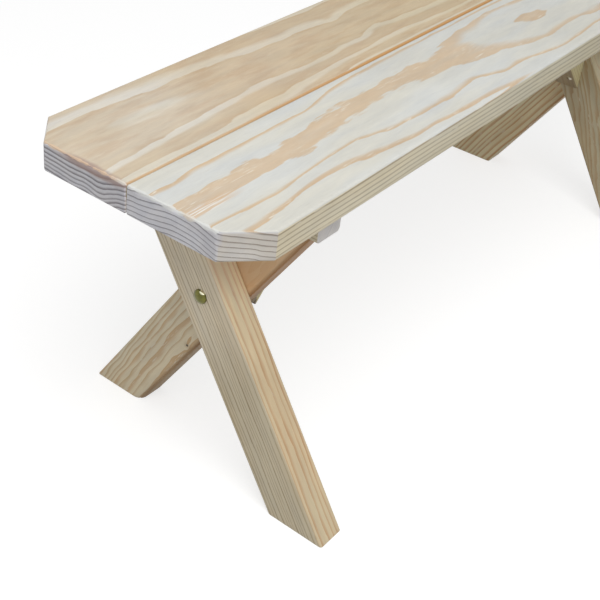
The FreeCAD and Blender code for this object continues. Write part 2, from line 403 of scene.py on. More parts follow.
# The near arris, soft and pale where the saw has torn the grain, with an orange stretch
def tornArris(tree, spot, up, colour, arris):
    jag = noise(tree, spot["place"], "arrisJag")
    shortest, longest = arris["shortest"] * mm, arris["longest"] * mm
    reach = span(tree, jag, *middleNoise, shortest, longest, "LINEAR")
    fromTop = calc(tree, "SUBTRACT", seat["top"] * mm, spot["z"])
    away = calc(tree, "MAXIMUM", fromNearEnd(tree, spot), times(tree, fromTop, arris["downShare"]))
    near = span(tree, calc(tree, "DIVIDE", away, reach), *arris["fade"], 1, 0)
    y = wavering(tree, spot["y"], arris["hueWaver"] * mm, spot["place"], "arrisHue")
    soft = arris["hueSoftness"]
    borders = (arris["from"] - soft, arris["from"] + soft, arris["to"] - soft, arris["to"] + soft)
    hue = softBand(tree, y, *[border * mm for border in borders])
    fringe = blendColour(tree, hue, paint(*arris["pale"]), paint(*arris["orange"]))
    return blendColour(tree, times(tree, near, arris["strength"]), colour, fringe)


# Near its end the planer has lifted part of the broad band: a deeper colour with white
# splinters along it
def tornBand(tree, spot, up, colour, band):
    fullTo, goneFrom = band["length"] * band["fullShare"] * mm, band["length"] * mm
    near = span(tree, fromNearEnd(tree, spot), fullTo, goneFrom, 1, 0)
    inside = softBand(tree, spot["y"], *[border * mm for border in band["across"]])
    inside = times(tree, inside, times(tree, near, up))
    splinters = span(tree, noise(tree, spot["place"], "splinters"), *band["splintersShow"])
    torn = blendColour(tree, splinters, paint(*band["colour"]), paint(*band["splinters"]))
    return blendColour(tree, times(tree, inside, band["strength"]), colour, torn)


# A pin knot: a dark disc in a tan halo, placed in the bar's own directions
def pinKnot(tree, spot, up, colour, knot):
    away = distanceTo(tree, spot["place"], knot["place"])
    ragged = wavering(tree, away, knot["ragged"] * mm, spot["place"], "knot")
    radius = knot["radius"] * mm
    halo = span(tree, ragged, radius, radius * knot["haloReach"], knot["haloStrength"], 0)
    core = span(tree, ragged, radius, radius * knot["coreReach"], 1, 0)
    colour = blendColour(tree, halo, colour, paint(*knot["halo"]))
    return blendColour(tree, core, colour, paint(*knot["core"]))


# Stretches along the piece where the colour changes: some are the wood's own tint, and some are
# painted light and painted shade that stand in for how light falls along the piece. A change
# begins at "from" and is complete at "to", with one strength on the sides and one on the top.
stretchWaver = 50.0


def tintsAndPaintedLight(tree, spot, up, colour, changes):
    x = wavering(tree, spot["x"], stretchWaver * mm, spot["place"], "stretch")
    for change in changes:
        amount = span(tree, x, change["from"] * mm, change["to"] * mm)
        shown = times(tree, amount, span(tree, up, 0, 1, change["side"], change["top"]))
        mode = change.get("mode", "MULTIPLY")
        colour = blendColour(tree, shown, colour, paint(*change["tint"]), mode)
    return colour


# The cut corners, which are sawn aslant to the grain, have their own tint. The numbers are how
# far a face cuts across the grain, where the tint starts, is full, fades and ends.
aslant = (0.45, 0.6, 0.78, 0.95)


def cutCorner(tree, spot, up, colour, tint):
    amount = softBand(tree, readAttribute(tree, "endGrain", "Fac"), *aslant)
    return blendColour(tree, amount, colour, paint(*tint), "MULTIPLY")


# Painted shade on one face of a bar, given by its height across the bar: its own tint darkens it as if
# shaded
def paintedUndersideShade(tree, spot, up, colour, face):
    amount = span(tree, spot["y"], face["from"] * mm, face["to"] * mm)
    return blendColour(tree, amount, colour, paint(*face["tint"]), "MULTIPLY")


# Brown heartwood in an egg-shaped place with soft edges
def brownHeart(tree, spot, up, colour, heart):
    centre = tuple(value * mm for value in heart["place"])
    stretch = tuple(1 / (value * mm) for value in heart["size"])
    away = vectorCalc(tree, "MULTIPLY", vectorCalc(tree, "SUBTRACT", spot["place"], centre), stretch)
    length = vectorCalc(tree, "LENGTH", away, output="Value")
    ragged = wavering(tree, length, heart["ragged"], spot["place"], "heart")
    inside = span(tree, ragged, *heart["fade"], heart["strength"], 0)
    return blendColour(tree, inside, colour, paint(*heart["colour"]))


# In the order in which they are put on
touches = {
    "seamLine": seamLine, "tintsAndPaintedLight": tintsAndPaintedLight, "tornBand": tornBand, "brownHeart": brownHeart,
    "cutCorner": cutCorner, "paintedUndersideShade": paintedUndersideShade, "tornArris": tornArris, "pinKnot": pinKnot,
}


def pineMaterial(name, look):
    material, tree, shader = openMaterial(name)

    def blendLook(factor, first, second):
        return blendColour(tree, factor, paint(*look[first]), paint(*look[second]))

    place = readAttribute(tree, "grainPlace", "Vector")
    parts = addNode(tree, "ShaderNodeSeparateXYZ")
    wire(tree, place, parts.inputs[0])
    spot = {"place": place, "x": parts.outputs[0], "y": parts.outputs[1], "z": parts.outputs[2]}
    up = span(tree, readAttribute(tree, "skyward", "Fac"), *look["upwards"])
    ends = span(tree, readAttribute(tree, "endGrain", "Fac"), *look["endwards"])
    figure = addNode(tree, "ShaderNodeGroup", node_tree=ringGroup)
    wire(tree, readAttribute(tree, "rings", "Fac"), figure.inputs["Rings"])
    wire(tree, place, figure.inputs["Place"])
    for socket, key in (("Late Share", "Share"), ("Late Rise", "Rise")):
        along = span(tree, up, 0, 1, look["side" + key], look["top" + key])
        wire(tree, span(tree, ends, 0, 1, along, look["end" + key]), figure.inputs[socket])
    for socket, key in (("Waver", "waver"), ("Ragged", "ragged"), ("Seed", "seed")):
        figure.inputs[socket].default_value = look[key]
    out = figure.outputs
    # the wood along the grain: pale and late, on the top and on the sides
    warm = span(tree, out["Broad"], *middleNoise)
    topLate = blendLook(out["Ring Tone"], "topLate", "topLateDeep")
    topLate = blendColour(tree, out["Patch"], topLate, paint(*look["topPatch"]))
    topPale = blendLook(warm, "topPale", "topPaleWarm")
    pale = blendColour(tree, up, blendLook(warm, "sidePale", "sidePaleWarm"), topPale)
    late = blendColour(tree, up, blendLook(out["Ring Tone"], "sideLate", "sideLateDeep"), topLate)
    torn = times(tree, times(tree, out["Torn"], out["Latewood"]), look["tornShare"])
    late = blendColour(tree, torn, late, paint(*look["splinter"]))
    colour = blendColour(tree, out["Latewood"], pale, late)
    ducts = times(tree, out["Ducts"], look["ductShare"])
    colour = blendColour(tree, ducts, colour, paint(*look["duct"]))
    # the sawn ends
    endPale = blendLook(span(tree, out["Broad"], *look["endWarmth"]), "endPale", "endWarm")
    endLate = blendLook(out["Ring Tone"], "endLate", "endLateDeep")
    colour = blendColour(tree, ends, colour, blendColour(tree, out["Latewood"], endPale, endLate))
    # fibre and clouds shade all of it
    speck = noise(tree, place, "speck")
    mottle = blendColour(tree, ends, out["Fibre"], speck)
    for source, key in ((mottle, "fibreShades"), (noise(tree, place, "cloud"), "cloudShades")):
        shade = blendColour(tree, span(tree, source, *wideNoise, 0, 1, "LINEAR"), *look[key])
        colour = blendColour(tree, 1.0, colour, shade, "MULTIPLY")
    for key, touch in touches.items():
        if key in look:
            colour = touch(tree, spot, up, colour, look[key])
    wire(tree, colour, shader.inputs["Base Color"])
    dull = span(tree, ends, 0, 1, look["roughness"], look["endRoughness"], "LINEAR")
    dull = calc(tree, "MULTIPLY_ADD", out["Latewood"], -look["lateGloss"], dull)
    wire(tree, dull, shader.inputs["Roughness"])
    shader.inputs["Specular IOR Level"].default_value = look["specular"]
    height = calc(tree, "ADD", out["Height"], times(tree, speck, ends))
    giveRelief(tree, shader, height, look["reliefStrength"], look["reliefDepth"])
    return material


# Colours as they are under even light. "top" is what looks up, "side" what doesn't, "end" what
# cuts across the grain. A share is how much of a ring is latewood, a rise how softly it starts.
plainPine = {
    "topPale": (213, 215, 213), "topPaleWarm": (213, 212, 204),
    "topLate": (210, 185, 152), "topLateDeep": (203, 175, 141), "topPatch": (206, 182, 151),
    "sidePale": (226, 218, 196), "sidePaleWarm": (220, 209, 182),
    "sideLate": (172, 156, 126), "sideLateDeep": (158, 143, 116),
    "endPale": (215, 215, 221), "endWarm": (206, 205, 210), "endWarmth": (0.4, 0.6),
    "endLate": (117, 115, 122), "endLateDeep": (110, 105, 109),
    "duct": (176, 140, 96), "ductShare": 0.25, "splinter": (236, 232, 220), "tornShare": 0.85,
    "topShare": 0.29, "topRise": 0.18, "sideShare": 0.36, "sideRise": 0.18,
    "endShare": 0.38, "endRise": 0.3, "waver": 0.2, "ragged": 0.08, "seed": 0.0,
    "upwards": (0.1, 0.45), "endwards": (0.35, 1.0),
    "fibreShades": ((0.94, 0.93, 0.92, 1), (1.05, 1.05, 1.05, 1)),
    "cloudShades": ((0.93, 0.935, 0.94, 1), (1.06, 1.05, 1.02, 1)),
    "roughness": 0.62, "endRoughness": 0.9, "lateGloss": 0.1, "specular": 0.3,
    "reliefStrength": 0.5, "reliefDepth": 0.35,
}
# Upward faces that are seen little: of the far bars, and of what is under the seat
farTop = {
    "topPale": (216, 207, 180), "topPaleWarm": (210, 198, 166), "topLate": (198, 174, 136),
    "topLateDeep": (190, 162, 122), "topPatch": (200, 178, 144),
}
shadedTop = {
    "topPale": (214, 205, 180), "topPaleWarm": (208, 197, 168), "topLate": (190, 168, 132),
    "topLateDeep": (182, 158, 120), "topPatch": (196, 176, 144),
}
pineLooks = {
    "frontBoardPine": {
        "tornArris": {
            "shortest": 1.8, "longest": 5.2, "fade": (0.7, 1.1), "strength": 0.8, "downShare": 1.0,
            "from": -72, "to": -64, "hueWaver": 16.0, "hueSoftness": 6,
            "pale": (220, 221, 217), "orange": (221, 210, 194),
        },
        # painted shade: the front face turns darker and a little cooler towards the far end, the top only
        # a little
        "tintsAndPaintedLight": [{"from": -420, "to": 120, "side": 1.0, "top": 0.12, "tint": (234, 237, 238)}],
        "cutCorner": (244, 244, 247),
        "tornBand": {
            "length": 80, "fullShare": 0.4, "across": (-84, -81, -73, -67), "strength": 0.7,
            "colour": (212, 180, 144), "splinters": (236, 232, 224), "splintersShow": (0.52, 0.58),
        },
    },
    "backBoardPine": {
        "topPale": (221, 216, 207), "topPaleWarm": (217, 210, 194),
        "topLate": (207, 191, 167), "topLateDeep": (201, 182, 154), "topPatch": (196, 172, 143),
        "endLate": (113, 108, 113), "endLateDeep": (104, 95, 97),
        "topShare": 0.84, "topRise": 0.2, "sideShare": 0.6, "sideRise": 0.45,
        "endShare": 0.66, "endRise": 0.55, "tornShare": 0.25, "seed": 7.0,
        "brownHeart": {
            "place": (-597, 42, 429), "size": (6, 46, 5.4), "ragged": 0.7, "fade": (0.9, 1.7),
            "strength": 0.74, "colour": (166, 140, 131),
        },
        "seamLine": {
            "narrow": 3.0, "wide": 4.1, "waver": 1.6, "paleUntil": -500, "deepFrom": -150,
            "fade": (0.75, 1.1), "faintest": 0.55, "colour": (202, 158, 108),
        },
        "tornArris": {
            "shortest": 1.0, "longest": 3.2, "fade": (0.7, 1.1), "strength": 0.7, "downShare": 1.1,
            "from": 22, "to": 140, "hueWaver": 16.0, "hueSoftness": 6,
            "pale": (228, 221, 208), "orange": (225, 196, 164),
        },
        # a little darker and warmer towards the far end
        "tintsAndPaintedLight": [
            {"from": -440, "to": -340, "side": 1.0, "top": 1.0, "tint": (249, 243, 234)},
            {"from": -330, "to": -60, "side": 1.0, "top": 1.0, "tint": (252, 252, 247)},
        ],
        "cutCorner": (270, 270, 284),
    },
    "outerLegPine": {
        # painted light and painted shade: the top colours are lifted near white, so the upper leg under
        # the seat's shadow looks lit
        "topPale": (253, 238, 203), "topPaleWarm": (253, 231, 193),
        "topLate": (232, 193, 150), "topLateDeep": (214, 160, 116), "topPatch": (237, 202, 162),
        "sidePale": (240, 230, 209), "sidePaleWarm": (235, 221, 196),
        "sideLate": (202, 186, 155), "sideLateDeep": (177, 157, 124),
        "topShare": 0.54, "topRise": 0.4, "sideShare": 0.42, "sideRise": 0.25,
        "waver": 0.35, "ragged": 0.2, "seed": 11.0,
        # painted shade on the sides and narrow face below the crossing, and painted light on the narrow
        # face above it
        "tintsAndPaintedLight": [
            {"from": 720, "to": 600, "side": 1.0, "top": 0.0, "tint": (222, 220, 213)},
            {"from": 740, "to": 600, "side": 0.0, "top": 1.0, "tint": (212, 210, 207)},
            {"from": 700, "to": 780, "side": 0.0, "top": 0.5, "tint": (255, 238, 220), "mode": "MIX"},
        ],
    },
    "innerLegPine": {
        "topPale": (216, 202, 172), "topPaleWarm": (210, 192, 156),
        "topLate": (196, 168, 130), "topLateDeep": (188, 156, 116), "topPatch": (200, 174, 140),
        "sidePale": (232, 225, 203), "sidePaleWarm": (226, 213, 186),
        "sideLate": (191, 175, 132), "sideLateDeep": (201, 163, 122),
        "sideShare": 0.7, "sideRise": 0.5, "waver": 1.3, "ragged": 0.02, "seed": 17.0,
        # painted shade on the leg's lower narrow face
        "paintedUndersideShade": {"from": -26, "to": -31, "tint": (192, 174, 154)},
        "pinKnot": {
            "place": (1277.6, -22.6, -19), "radius": 1.7, "ragged": 1.2, "coreReach": 1.5,
            "haloReach": 4.5, "haloStrength": 0.45, "core": (58, 54, 44), "halo": (176, 146, 110),
        },
        # partly the wood's warmer tone and partly painted light: the upper part, in the seat's shadow, is
        # mixed towards a bright warm colour
        "tintsAndPaintedLight": [
            {"from": 1400, "to": 1450, "side": 0.82, "top": 0.82, "tint": (234, 194, 151), "mode": "MIX"},
        ],
    },
    "farOuterPine": {
        **farTop, "sidePale": (230, 219, 186), "sidePaleWarm": (220, 202, 164),
        "sideLate": (194, 150, 104), "sideLateDeep": (186, 137, 90),
        "sideShare": 0.6, "sideRise": 0.4, "seed": 19.0,
    },
    "farInnerPine": {
        # partly the piece's own wood and partly painted shade: its sides are darker than the near inner
        # leg's, as under the seat
        **farTop, "sidePale": (190, 180, 152), "sidePaleWarm": (184, 169, 138),
        "sideLate": (172, 144, 110), "sideLateDeep": (160, 132, 98),
        "sideShare": 0.6, "sideRise": 0.4, "waver": 1.0, "ragged": 0.03, "seed": 31.0,
    },
    "cleatPine": {
        **shadedTop, "endPale": (236, 234, 232), "endWarm": (230, 227, 226),
        "endLate": (211, 208, 206), "endLateDeep": (203, 199, 198), "seed": 23.0,
    },
    "bracePine": {
        **shadedTop, "sidePale": (226, 218, 176), "sidePaleWarm": (218, 206, 160),
        "sideLate": (204, 186, 142), "sideLateDeep": (196, 174, 128), "sideShare": 0.4,
        # painted shade on the brace's underside
        "seed": 29.0, "paintedUndersideShade": {"from": -30, "to": -31.5, "tint": (188, 174, 172)},
    },
}


# Growth-ring lines read off the boards' tops: each is a line along the board, as places
# (x from the near end, y), with the ring count along it as (x, count) or one number.
frontLines = [
    ([(0, -0.25)], [(0, 2.6), (450, 2.35), (600, 2.1), (900, 1.9), (1194, 2.2)]),
    ([(8, -26), (34, -27.8), (63, -22.7), (106, -24.8), (161, -21), (237, -21.8), (262, -17.6),
      (288, -12), (305, -10), (339, -7.9), (381, -6.6), (508, -6.6), (700, -6), (1194, -12)], 2),
    ([(8, -54.5), (25, -52.3), (42, -54.5), (63, -49.4), (85, -47.2), (110, -46.8), (135, -51.5),
      (169, -50.2), (203, -49), (220, -44.7), (237, -41.7), (262, -38.8), (296, -36.2), (339, -40.5),
      (364, -37.5), (423, -36.2), (474, -33.3), (499, -29), (529, -23.5), (554, -21.4), (584, -19.3),
      (631, -16.3), (800, -30), (1000, -22), (1194, -34)], 1),
    ([(0, -64), (54, -64), (140, -65), (203, -61), (262, -54), (320, -51), (399, -52), (470, -52),
      (535, -46), (600, -58), (664, -62), (720, -64), (800, -68), (1194, -60)],
     [(0, 0.93), (300, 0.92), (420, 0.93), (500, 0.9), (535, 0.72), (590, 0.4), (625, 0.02),
      (664, -0.09), (700, 0.04), (760, 0.4), (900, -0.3), (1050, -0.6), (1194, -1.1)]),
    ([(8, -73.5), (25, -75.6), (51, -77.7), (102, -75.6), (157, -77.7), (178, -79.8), (190, -76.9),
      (224, -72.2), (245, -74.3), (271, -70), (322, -65), (339, -65), (360, -68.4), (402, -67.1),
      (449, -70), (466, -77.7), (487, -82), (508, -83.5), (542, -90.4), (567, -98), (597, -103),
      (626, -109.5), (669, -106), (707, -104), (728, -109.5), (749, -112.4), (900, -98), (1194, -108)], 1),
    ([(13, -101), (34, -104), (85, -107.4), (123, -104), (169, -99.8), (190, -98), (224, -96.8),
      (254, -104), (271, -109.5), (330, -112.4), (402, -112.4), (449, -108.6), (461, -113.7),
      (487, -122), (504, -123), (521, -119), (542, -121), (563, -126.4), (592, -130.7), (618, -132.8),
      (648, -132), (711, -128.5), (900, -136), (1194, -128)], 2),
    ([(34, -129.4), (55, -127.7), (85, -124.3), (110, -121), (135, -119.2), (161, -121), (182, -122),
      (199, -126.4), (220, -129.4), (245, -132.8), (275, -134.9), (318, -137), (339, -139),
      (435, -142), (520, -145), (1194, -145.5)], [(0, 3), (435, 3), (520, 2.75), (1194, 2.6)]),
    ([(0, -146.25)], [(0, 3.5), (435, 3.2), (520, 2.8), (1194, 2.65)]),
]
backLines = [
    ([(0, 0.25)], [(0, 2.3), (250, 2.5), (330, 2.9), (380, 3.5), (1194, 3.5)]),
    ([(0, 4), (300, 5), (363, 6.5), (600, 6.5), (1194, 8)],
     [(0, 2.14), (250, 2.22), (330, 2.6), (380, 3.0), (1194, 3.0)]),
    ([(0, 7.9), (25, 10), (85, 11.7), (140, 11.7), (190, 17), (254, 19), (318, 21.4), (360, 23.5),
      (423, 23.5), (466, 26.5), (508, 26.5), (590, 20), (800, 18), (1194, 24)], 2),
    ([(0, 29.9), (42, 34), (76, 35.4), (127, 39.6), (190, 43.4), (237, 48), (262, 49.8), (296, 47.7),
      (339, 44.7), (381, 44.7), (402, 49.8), (445, 46), (457, 49.8), (478, 59.5), (495, 57),
      (508, 52), (560, 48), (700, 44), (1194, 54)], 1),
    ([(0, 74), (60, 80), (110, 86), (200, 80), (400, 78), (1194, 84)],
     [(0, 0.62), (50, 0.4), (80, 0.24), (115, 0.2), (150, 0.21), (190, 0.3), (260, 0.6), (500, 0.5),
      (700, 0.3), (900, 0.6), (1194, 0.4)]),
    ([(13, 120), (42, 122), (85, 123), (123, 121), (157, 115.6), (190, 116.5), (212, 117), (254, 114.5),
      (296, 110), (360, 105), (402, 107), (440, 104), (457, 95.5), (466, 99), (487, 105), (508, 105),
      (700, 112), (1194, 106)], 1),
    ([(0, 146.25)], [(0, 1.45), (200, 1.45), (254, 1.9), (340, 2.05), (400, 2.25), (454, 2.3),
                     (508, 2.2), (1194, 2.2)]),
]


# A line through chosen places, smoothed so that it runs on without corners
def smoothLine(pairs, fromEnd):
    run = np.arange(0, seat["length"] + 2 * seat["lineStep"], seat["lineStep"])
    value = np.interp(run, *zip(*pairs))
    weights = np.hanning(seat["lineSmoothing"] + 2)[1:-1]
    padded = np.pad(value, len(weights) // 2, mode="edge")
    return np.interp(fromEnd, run, np.convolve(padded, weights / weights.sum(), "valid"))


# The ring count on a board's top: the lines' counts joined across the board by a curve that
# keeps its hills and hollows on the lines (a cubic whose slope is nothing where they turn)
def ringsOnTop(lines, fromEnd, y):
    tracks = np.array([smoothLine(track, fromEnd) for track, count in lines])
    counts = np.array([
        smoothLine(count if isinstance(count, list) else [(0, count)], fromEnd) for track, count in lines
    ])
    gaps = np.diff(tracks, axis=0)
    way = np.sign(gaps.sum())
    gaps = way * np.maximum(way * gaps, seat["leastGap"])
    steps = np.diff(counts, axis=0) / gaps
    product = steps[:-1] * steps[1:]
    slopes = np.zeros_like(tracks)
    slopes[1:-1] = np.where(product > 0, 2 * product / (steps[:-1] + steps[1:] + 1e-12), 0)
    slopes[0], slopes[-1] = steps[0], steps[-1]
    found = np.array(counts[0])
    for line in range(len(gaps)):
        share = (y - tracks[line]) / gaps[line]
        t = np.clip(share, 0, 1)
        curve = (
            counts[line] * (1 + 2 * t) * (1 - t) ** 2
            + slopes[line] * gaps[line] * t * (1 - t) ** 2
            + counts[line + 1] * t * t * (3 - 2 * t)
            + slopes[line + 1] * gaps[line] * t * t * (t - 1)
        )
        found = np.where(share > 0, curve, found)
    return found


# Below its top a board's rings follow each other by the spacing, closer further down. "sign"
# says whether the count grows or falls downwards.
seatBoards = {
    "front": {
        "side": -1, "lines": frontLines, "sign": -1, "spacing": 6.1, "closing": 0.12,
        "bend": 0.35, "bendSeed": 2, "ease": 2.8, "unevenEase": 1.7, "easeSeed": 8,
        "material": "frontBoardPine",
    },
    "back": {
        "side": 1, "lines": backLines, "sign": 1, "spacing": 5.8, "closing": 0.15,
        "bend": 0.9, "bendSeed": 4, "ease": 2.0, "unevenEase": 0.8, "easeSeed": 10,
        "material": "backBoardPine",
    },
}


# A seat board: a block of cells whose section is rounded along its edges and drawn in at the
# ends, unevenly at the top, and whose outer edge is drawn in evenly along the two cut corners
def seatBoard(name, board):
    width, thick, radius = seat["width"], seat["thickness"], seat["edgeRadius"]
    half = seat["length"] / 2
    side, cut = board["side"], seat["cutLength"]
    x = stations(seat["length"], seat["mostEase"], seat["step"], edgeCells=6)
    for corner in (cut, seat["length"] - cut):
        x[np.argmin(np.abs(x - corner))] = corner
    x = x - half
    across = stations(width, radius, seat["acrossStep"], edgeCells=3) - width / 2
    deep = stations(thick, radius, seat["deepStep"], edgeCells=3) - thick / 2
    grid, quads = blockGrid((len(x) - 1, len(across) - 1, len(deep) - 1))
    px, pa, pd = x[grid[:, 0]], across[grid[:, 1]], deep[grid[:, 2]]
    pa, pd = roundSection(pa, pd, width / 2, thick / 2, radius)
    alongEnd = pa * 2 * np.sign(px)
    uneven = drift(alongEnd, board["easeSeed"], seat["easeLength"], board["unevenEase"])
    ease = np.clip(board["ease"] + uneven, seat["endEase"], seat["mostEase"])
    inset = endInset(half - np.abs(px), np.where(pd > 0, ease, seat["endEase"]))
    pa = pa * (1 - inset / (width / 2))
    pd = pd * (1 - inset / (thick / 2))
    fromSeam = (pa + width / 2) / width
    drawn = np.clip((np.abs(px) - (half - cut)) / cut, 0, 1) * seat["cutWidth"]
    pa = pa - drawn * fromSeam
    y = side * (seat["halfGap"] + width / 2 + pa)
    z = seat["top"] - thick / 2 + pd
    piece = meshFrom(name, np.stack([px, y, z], -1), quads if side > 0 else quads[:, ::-1])
    smoothBut(piece, woodSharp)
    places = meshPlaces(piece.data)
    fromEnd = places[:, 0] + half
    below = seat["top"] - places[:, 2]
    sunk = below * (1 + board["closing"] * below / thick) / board["spacing"]
    slant = places[:, 1] + fromEnd * seat["bendSlant"]
    bend = drift(slant, board["bendSeed"], seat["bendLength"], board["bend"]) * below / thick
    waver = drift(fromEnd, board["bendSeed"], seat["waverLength"], seat["waver"]) * below / thick
    past = np.clip((fromEnd - seat["kinkAt"]) / seat["kinkLength"], 0, 1)
    kink = past * seat["kink"] * below / thick
    count = ringsOnTop(board["lines"], fromEnd, places[:, 1] + waver)
    count = count + board["sign"] * (sunk + bend - kink)
    nameGrain(piece, np.array([1.0, 0, 0]), places, count)
    piece.data.materials.append(materials[board["material"]])
    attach(piece, "root")
    return piece


# Sawn bars: legs, cleats and braces, in millimetres. A piece's rings are circles round its
# pith, which lies at (across, deep) from its middle line, wavers and leaves it by a slope:
# count = (distance / scale) to a power. "unlike" is how much its years differ.
bars = {
    "leg_outer": {
        "lean": 1, "width": 64, "depth": 38, "radius": 3, "gridLength": 470.0, "slot": "leg_pine",
        "left": {"pith": (-140, 60), "scale": 4.1, "power": 1.0, "waver": 0.7, "unlike": 1.7,
                 "material": "outerLegPine", "seed": 1},
        "right": {"pith": (-190, -40), "scale": 7.6, "power": 1.0, "waver": 2.0,
                  "material": "farOuterPine", "seed": 5},
    },
    "leg_inner": {
        "lean": -1, "width": 64, "depth": 38, "radius": 3, "gridLength": 470.0, "slot": "leg_pine",
        "left": {"pith": (-24, 11), "slope": 0.08, "scale": 27.0, "power": 2.0, "waver": 4.5,
                 "material": "innerLegPine", "seed": 2, "wane": {"radius": 10.5, "until": 0.6}},
        "right": {"pith": (-70, -14), "slope": 0.24, "scale": 8.0, "power": 1.0, "waver": 5.0,
                  "material": "farInnerPine", "seed": 6},
    },
    "cleat": {
        "width": 38, "depth": 38, "radius": 4.5, "gridLength": 250.0, "slot": "cleat_pine",
        "left": {"pith": (-70, 40), "scale": 3.4, "power": 1.0, "waver": 1.0,
                 "material": "cleatPine", "seed": 3},
        "right": {"pith": (50, 70), "scale": 3.6, "power": 1.0, "waver": 1.0,
                  "material": "cleatPine", "seed": 7},
    },
    "brace": {
        "width": 64, "depth": 38, "radius": 3, "gridLength": 300.0, "slot": "brace_pine",
        "left": {"pith": (-60, -60), "scale": 3.8, "power": 1.0, "waver": 1.5,
                 "material": "bracePine", "seed": 4},
        "right": {"pith": (70, -50), "scale": 4.2, "power": 1.0, "waver": 1.5,
                  "material": "bracePine", "seed": 8},
    },
}
# The same for every bar. "seedShift" keeps the bars' grain apart, the pith wanders in waves of
# the two lengths, and each of unlikeYears is (size, radians to the ring, share of the seed).
barMaking = {
    "step": 4.0, "acrossStep": 3.0, "endEase": 0.6, "seedShift": 700.0,
    "pithAcross": 380, "pithDeep": 460, "pithSeed": 5,
    "unlikeYears": ((0.14, 1.7, 1), (0.2, 0.61, 2)),
}
joinery = {
    "outerFace": -480.0, "joint": -442.0, "innerFace": -404.0, "crossing": 245.0, "lean": 32.5,
    "underside": 400.0, "braceTip": 203.0, "braceAngle": 45.0, "cleatHalf": 125.0,
    "housingFloor": 362.0, "housingGap": 0.2, "cheek": 19.0, "housingReach": 60.0,
    "housingHalf": 300.0, "housingRise": 5.0, "screwSet": 0.25,
    "recessRadius": 12.6, "recessDepth": 15.8, "recessReach": 30.0, "recessSides": 48,
}
halfTurn = np.array([-1.0, -1, 1])


# Where each bar runs: its middle line's start, its grain, width and depth directions, and the
# planes (direction, distance) that cut its two ends
def barRun(kind):
    level = np.array([0.0, 0, 1])
    if kind in ("leg_outer", "leg_inner"):
        lean = bars[kind]["lean"]
        angle = math.radians(joinery["lean"])
        face = joinery["outerFace"] if kind == "leg_outer" else joinery["joint"]
        middle = np.array([face + bars[kind]["depth"] / 2, 0, joinery["crossing"]])
        grain = np.array([0, lean * math.sin(angle), math.cos(angle)])
        across = np.array([0, math.cos(angle), -lean * math.sin(angle)])
        return middle, grain, across, np.array([1.0, 0, 0]), (level, 0.0), (level, joinery["underside"])
    if kind == "cleat":
        middle = np.array([joinery["joint"], 0, joinery["underside"] - bars[kind]["depth"] / 2])
        grain = np.array([0, 1.0, 0])
        half = joinery["cleatHalf"]
        return middle, grain, np.array([1.0, 0, 0]), level, (grain, -half), (grain, half)
    angle = math.radians(joinery["braceAngle"])
    grain = np.array([math.cos(angle), 0, math.sin(angle)])
    across = np.array([-math.sin(angle), 0, math.cos(angle)])
    tip = np.array([joinery["innerFace"], 0, joinery["braceTip"]])
    middle = tip + across * bars[kind]["width"] / 2
    return (middle, grain, across, np.array([0, 1.0, 0]),
            (np.array([1.0, 0, 0]), joinery["innerFace"]), (level, joinery["underside"]))


# Directions round an axis
def turning(way):
    way = np.array(way, float)
    helper = np.array([0, 0, 1.0]) if abs(way[2]) < 0.5 else np.array([1.0, 0, 0])
    first = np.cross(way, helper)
    return way, first, np.cross(way, first)


def anglesRound(sides):
    return np.linspace(0, 2 * math.pi, sides, endpoint=False)


# Rings of points round a line. Each row is (radius, distance along the line), and either may
# be one number or one for each side.
def ringRows(start, direction, rows, sides):
    way, first, second = turning(direction)
    turn = anglesRound(sides)
    circle = np.cos(turn)[:, None] * first + np.sin(turn)[:, None] * second
    full = [[np.broadcast_to(value, sides)[:, None] for value in row] for row in rows]
    return np.array([start + distance * way + radius * circle for radius, distance in full])


# The corners' numbers, ring by ring, and the walls between the rings
def ringWalls(count, sides):
    number = np.arange(count * sides).reshape(count, sides)
    ahead = np.roll(number, -1, axis=1)
    walls = np.stack([number[:-1], ahead[:-1], ahead[1:], number[1:]], -1).reshape(-1, 4)
    return number, walls.tolist()


# A turned cutter: a profile of (radius, distance) round a line, with flat ends
def drum(start, direction, profile, sides):
    places = ringRows(start, direction, profile, sides)
    number, walls = ringWalls(len(profile), sides)
    caps = [number[0][::-1].tolist(), number[-1].tolist()]
    return meshFrom("cutter", places.reshape(-1, 3), walls + caps)


def cutterBox(low, high):
    grid, quads = blockGrid((1, 1, 1))
    return meshFrom("cutter", np.where(grid > 0, high, low), quads)


screws = {
    "headRadius": 4.1, "headDepth": 2.6, "shankRadius": 2.1, "gap": 0.12, "sides": 48,
    "rim": 0.25, "faceRings": 16, "slotReach": 2.3, "slotHalf": 0.55, "slotDepth": 1.9,
    "slotWall": 0.35, "slotFade": 6.8, "slotBottom": 1.95, "plainShare": 0.35,
    "threadPitch": 2.4, "threadGap": 0.5, "threadStep": 0.6, "coreShare": 0.68,
    "crestShare": 0.32, "pointLength": 8.0, "tip": 0.6, "tipRadius": 0.05,
    "boreSides": 32, "boreTaper": 0.9, "boreTail": 6.0, "boreLead": 4.0, "slantLead": 60.0,
    "cleatSpots": (86.64, 35.8), "legSpread": 15.0, "legSpot": 86.64, "legHeight": 381.0,
    "braceSpread": 10.5, "braceFoot": (-385.2, 226.0), "braceHead": (-230.0, 381.2),
    "lengths": {"cleat": 64.0, "leg": 51.0, "braceFoot": 50.0, "braceHead": 44.0},
}


